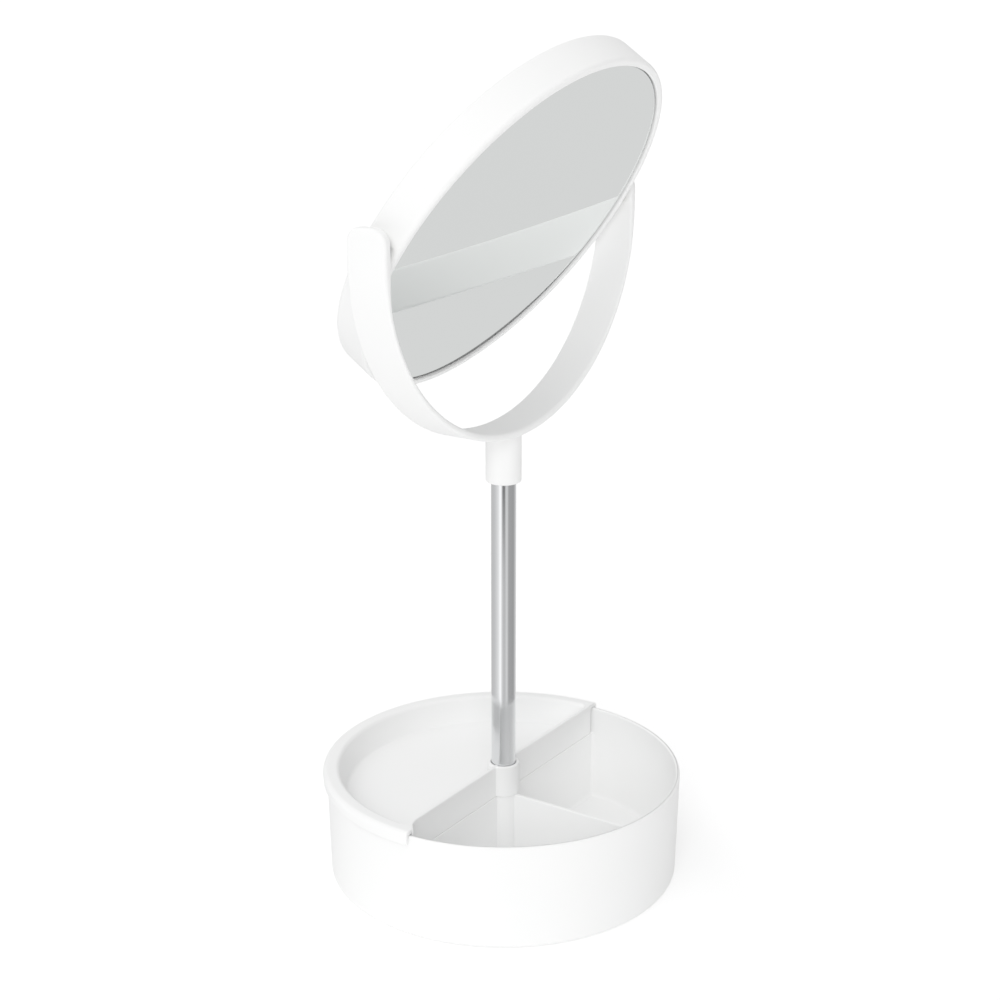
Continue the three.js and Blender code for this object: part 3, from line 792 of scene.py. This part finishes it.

# %% [markdown]
# ### The two glasses
# The front glass is flat, the back one is gently dished, which magnifies. Both have a fine ground chamfer.
# Each point stores its distance to the edge for the dark line in the material. The line is widened at the
# lower right by painted shade and a painted dark reflection of the glass edge, so the stored distance is
# shortened there.

# %% Glass dimensions
GLASS_RADIUS, GLASS_THICK, GLASS_FACE, DISH_RADIUS, CHAMFER = 89.6, 3.0, 7.75, 900.0, 0.35
# Painted shade and dark reflection at the lower right of the glass edge: width in mm, angle of its middle,
# spread in degrees.
PAINTED_SHADE_MM, PAINTED_SHADE_AT, PAINTED_SHADE_SPREAD = 2.9, -56.0, 34.0


def glass_profile(hollow_radius=None):
    """Face and back of a glass, from the axis out. A dished face sinks by (R^2 - r^2) / (2 x dish radius).
    The points crowd near the edge, where the stored distance has to be exact."""
    near_edge = np.concatenate([np.arange(3.7, 0.9, -0.3), [0.8, 0.6, CHAMFER]])
    r = np.concatenate([np.linspace(0, GLASS_RADIUS - 4, 44), GLASS_RADIUS - near_edge])
    sag = 0 * r if hollow_radius is None else (GLASS_RADIUS**2 - r**2) / (2 * hollow_radius)
    face = np.stack([r, GLASS_FACE - sag], 1)
    back = np.stack([r, GLASS_FACE - sag - GLASS_THICK], 1)[::-1]
    side = [[GLASS_RADIUS, GLASS_FACE - CHAMFER], [GLASS_RADIUS, GLASS_FACE - GLASS_THICK]]
    return np.concatenate([face, side, back])


# %% Glasses
def glass(name, node, profile, lay):
    """A turned glass. Its points store radius left to the edge, less a painted shade, which falls off from
    PAINTED_SHADE_AT as a bell curve of the angle."""
    obj = piece(name, [moved(turned(profile, 256, on_axis=True), lay, AT_PIVOT)], silvered,
                "mirror_head", "mirror_glass", node)
    at = np.zeros(len(obj.data.vertices) * 3)
    obj.data.vertices.foreach_get("co", at)
    local = (at.reshape(-1, 3) / MM - AT_PIVOT) @ lay
    away = np.degrees(np.arctan2(local[:, 1], local[:, 0])) - PAINTED_SHADE_AT
    away = (away + 180) % 360 - 180
    # Painted shade and dark reflection, widest at the lower right, taken off the distance to the edge.
    painted_shade = PAINTED_SHADE_MM * np.exp(-((away / PAINTED_SHADE_SPREAD) ** 2))
    edge = GLASS_RADIUS - np.hypot(local[:, 0], local[:, 1]) - painted_shade
    obj.data.attributes.new("to_edge", "FLOAT", "POINT").data.foreach_set("value", edge.astype(np.float32))


glass("front_glass", "plain_glass", glass_profile(), stand)
glass("back_glass", "magnifying_glass", glass_profile(DISH_RADIUS), stand @ np.array(turn("X", 180)))

# %% [markdown]
# ## Pieces kept as packed
# Small inner pieces have the right shape already, so they only get their finish.

# %% Finishes for kept pieces
kept = {
    "tube_plug": zinc, "anchor_washer": zinc, "anchor_screw": zinc, "set_screw": zinc,
    "slide_glide": acetal, "friction_ring": rubber, "front_foam_pad": foam, "back_foam_pad": foam,
}
for name, finish in kept.items():
    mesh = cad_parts[name].data
    mesh.materials.clear()
    mesh.materials.append(finish)
print("kept:", sorted(kept))

# %% [markdown]
# ## The studio
# The camera stands to the left of the mirror's front and looks a little down, through a lens long enough
# to keep the yoke's two arms nearly parallel. The object stands on a white table that gives off a faint
# light of its own, as a light table does, so that the table fades into a white background without an edge.

# %% Camera
AZIMUTH, ELEVATION = -56.6, 17.317
DISTANCE, EYE_HEIGHT, SIDE_STEP, LENS = 0.8606, 0.4590, -0.00171, 68.47
a, e = math.radians(AZIMUTH), math.radians(ELEVATION)
towards = np.array([math.sin(a), -math.cos(a), 0])
rightward = np.array([math.cos(a), math.sin(a), 0])
camera_data = bpy.data.cameras.new("camera")
camera_data.lens = LENS
camera_data.sensor_width = 36
camera_data.clip_start = 0.05
camera = bpy.data.objects.new("camera", camera_data)
camera.location = towards * DISTANCE + rightward * SIDE_STEP + np.array([0, 0, EYE_HEIGHT])
camera.rotation_euler = (math.pi / 2 - e, 0, a)
bpy.context.scene.collection.objects.link(camera)
bpy.context.scene.camera = camera
print("camera at", [round(v, 4) for v in camera.location])

# %% Floor
table_white = patterned(
    "white laminate", ("#FAFAFA", "#FCFCFC"), [(300, 2, EVEN)],
    Roughness=0.9, Specular_IOR_Level=0.0, Emission_Color=(1, 1, 1, 1), Emission_Strength=0.23,
)
FLOOR_RADIUS, FLOOR_CORNERS = 14.0, 96
angle = np.linspace(0, 2 * math.pi, FLOOR_CORNERS, endpoint=False)
circle = np.stack([np.cos(angle), np.sin(angle), 0 * angle], 1) * FLOOR_RADIUS
mesh = bpy.data.meshes.new("table")
mesh.from_pydata(circle, [], [list(range(FLOOR_CORNERS))])
mesh.materials.append(table_white)
table = bpy.data.objects.new("table", mesh)
bpy.context.scene.collection.objects.link(table)
table.visible_glossy = False
print("table", mesh.name)

# %% [markdown]
# ### The room that reflections see
# A polished tube and a mirror show their room, so the room is painted as soft bands round the horizon:
# brightest a little to the left of the camera and darkest a quarter turn to its right. Well below the
# horizon lies an even grey, and straight behind the lens hangs a tall black flag, which gives the chrome
# its dark line. Overhead the light falls off from left to right. The camera itself looks at plain white.

# %% Room measures
# Bearing from the camera in degrees, positive to the camera's right, and the brightness there.
BANDS = [(-180, 0.7), (-134, 0.52), (-99, 0.55), (-74, 0.68), (-52, 0.9), (-42, 1.1), (-33, 1.5),
         (-25, 1.35), (-15, 0.8), (-5, 0.6), (5, 0.52), (14, 0.54), (23, 0.67), (33, 0.74), (42, 0.42),
         (52, 0.3), (98, 0.27), (118, 0.34), (126, 0.62), (180, 0.66)]
# Heights are the Z of a unit direction: 0 is the horizon, 1 straight up.
GROUND_GREY, GROUND_START, GROUND_FULL = 0.63, -0.4, -0.48
FLAG_GREY, FLAG_BEARING, FLAG_HALF, FLAG_FADE = 0.06, 1, 10, 17
FLAG_LOW, FLAG_FULL = -0.335, -0.295
CEILING_LEFT, CEILING_RIGHT, CEILING_START, CEILING_FULL = 0.82, 0.54, 0.25, 0.75
# How much of the painted bands reaches plain surfaces, and how much a reflection shows.
DIFFUSE_SHARE, MIRRORED_SHARE = 0.12, 0.94

# %% Room directions
world = bpy.data.worlds.new("studio")
bpy.context.scene.world = world
world.use_nodes = True
tree = world.node_tree
tree.nodes.clear()
direction = add_node(tree, "ShaderNodeTexCoord").outputs["Generated"]
ray = add_node(tree, "ShaderNodeLightPath").outputs
facing = math.atan2(towards[1], towards[0])
turned_room = add_node(tree, "ShaderNodeMapping", {"Vector": direction, "Rotation": (0, 0, -facing)})
xyz = add_node(tree, "ShaderNodeSeparateXYZ", {"Vector": turned_room.outputs["Vector"]}).outputs
bearing = add_node(tree, "ShaderNodeMath", {0: xyz["Y"], 1: xyz["X"]}, operation="ARCTAN2").outputs[0]
print("room faces", round(math.degrees(facing), 1), "degrees")

# %% Bands and ground
around = add_node(tree, "ShaderNodeMapRange", {
    "Value": bearing, "From Min": -math.pi, "From Max": math.pi})
bands = add_node(tree, "ShaderNodeValToRGB", {"Fac": around.outputs["Result"]})
bands.color_ramp.interpolation = "LINEAR"
stops = bands.color_ramp.elements
while len(stops) < len(BANDS):
    stops.new(0.5)
for stop, (degrees, level) in zip(stops, BANDS):
    stop.position = (degrees + 180) / 360
    stop.color = (level, level, level, 1)
below = add_node(tree, "ShaderNodeMapRange", {
    "Value": xyz["Z"], "From Min": GROUND_START, "From Max": GROUND_FULL})
grounded = add_node(tree, "ShaderNodeMixRGB", {
    "Fac": below.outputs["Result"], "Color1": bands.outputs["Color"], "Color2": (*[GROUND_GREY] * 3, 1)})
print("room bands:", len(BANDS))

# %% Flag behind the lens
above = add_node(tree, "ShaderNodeMapRange", {
    "Value": xyz["Z"], "From Min": FLAG_LOW, "From Max": FLAG_FULL}, interpolation_type="SMOOTHSTEP")
off = add_node(tree, "ShaderNodeMath", {0: bearing, 1: math.radians(FLAG_BEARING)}, operation="SUBTRACT")
aside = add_node(tree, "ShaderNodeMath", {0: off.outputs[0]}, operation="ABSOLUTE")
within = add_node(tree, "ShaderNodeMapRange", {
    "Value": aside.outputs[0], "From Min": math.radians(FLAG_FADE), "From Max": math.radians(FLAG_HALF)})
cover = add_node(tree, "ShaderNodeMath", {
    0: above.outputs["Result"], 1: within.outputs["Result"]}, operation="MULTIPLY")
flagged = add_node(tree, "ShaderNodeMixRGB", {
    "Fac": cover.outputs[0], "Color1": grounded.outputs["Color"], "Color2": (*[FLAG_GREY] * 3, 1)})
print("flag from", FLAG_BEARING - FLAG_HALF, "to", FLAG_BEARING + FLAG_HALF, "degrees")

# %% Ceiling and background
share = add_node(tree, "ShaderNodeMapRange", {
    "Value": ray["Is Glossy Ray"], "To Min": DIFFUSE_SHARE, "To Max": MIRRORED_SHARE})
walls = add_node(tree, "ShaderNodeMixRGB", {
    "Fac": 1.0, "Color1": flagged.outputs["Color"], "Color2": share.outputs["Result"]},
    blend_type="MULTIPLY")
ceiling = add_node(tree, "ShaderNodeMapRange", {
    "Value": xyz["Y"], "From Min": -1.0, "From Max": 1.0, "To Min": CEILING_LEFT, "To Max": CEILING_RIGHT})
high = add_node(tree, "ShaderNodeMapRange", {
    "Value": xyz["Z"], "From Min": CEILING_START, "From Max": CEILING_FULL}, interpolation_type="SMOOTHSTEP")
room = add_node(tree, "ShaderNodeMixRGB", {
    "Fac": high.outputs["Result"], "Color1": walls.outputs["Color"], "Color2": ceiling.outputs["Result"]})
shown = add_node(tree, "ShaderNodeMixRGB", {
    "Fac": ray["Is Camera Ray"], "Color1": room.outputs["Color"], "Color2": (1, 1, 1, 1)})
light = add_node(tree, "ShaderNodeBackground", {"Color": shown.outputs["Color"], "Strength": 1.0})
add_node(tree, "ShaderNodeOutputWorld", {"Surface": light.outputs["Background"]})
print("world nodes:", len(tree.nodes))

# %% [markdown]
# ### Lamps
# Three distant lamps do the modelling, each as wide as a big softbox: one beside the camera, one high
# above it, and one far round to the left. Reflections do not see them, since the painted room stands in for
# them there. A view gamma above 1 lightens the middle tones, as in a bright catalogue picture.

# %% Lamps and tone
VIEW_GAMMA = 1.55


def lamp(name, bearing, elevation, width_degrees, strength):
    """A distant soft lamp at a bearing from the camera in degrees, as wide as width_degrees."""
    data = bpy.data.lights.new(name, "SUN")
    data.angle, data.energy = math.radians(width_degrees), strength
    obj = bpy.data.objects.new(name, data)
    b = math.radians(bearing)
    out = towards * math.cos(b) + rightward * math.sin(b)
    obj.rotation_euler = (math.radians(90 - elevation), 0, math.atan2(out[1], out[0]) + math.pi / 2)
    obj.visible_glossy = False
    bpy.context.scene.collection.objects.link(obj)
    print("lamp", name, "at", bearing, "degrees, up", elevation)


lamp("front", -6, 24, 30, 0.96)
lamp("high", -20, 51, 50, 0.58)
lamp("side", -110, 40, 50, 0.42)

view = bpy.context.scene.view_settings
view.view_transform = "Standard"
view.gamma = VIEW_GAMMA
